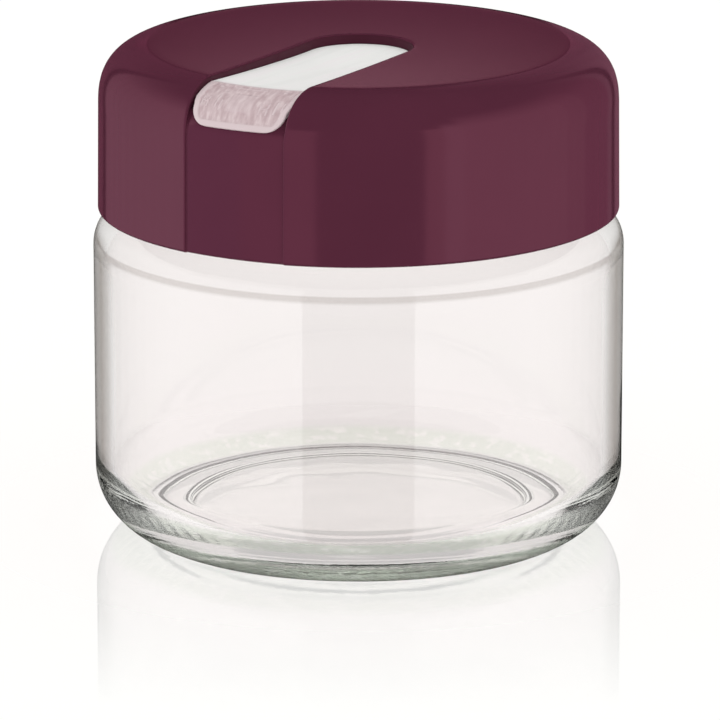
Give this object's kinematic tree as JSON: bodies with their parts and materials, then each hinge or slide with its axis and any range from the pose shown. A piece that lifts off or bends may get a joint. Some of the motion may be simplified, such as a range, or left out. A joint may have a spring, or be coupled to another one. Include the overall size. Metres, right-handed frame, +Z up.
{
  "type": "spice jar",
  "caption": "Squat clear glass jar with a thick base and a plum screw lid that has a clear window let into its top and edge, for keeping spices.",
  "frame": {"origin": "middle of the base, on the surface the jar stands on", "axes": "+Z up the jar's axis, the lid's window runs from the middle towards -Y"},
  "size_m": [0.0844, 0.0844, 0.0785],
  "materials": {
    "clear_glass": "polished, faintly green where it is thick",
    "plum_plastic": "satin moulded",
    "clear_plastic": "pale translucent moulded"
  },
  "bodies": {
    "root": {"glass_jar": "clear_glass", "lid": "plum_plastic", "lid_window": "clear_plastic"}
  },
  "joints": []
}
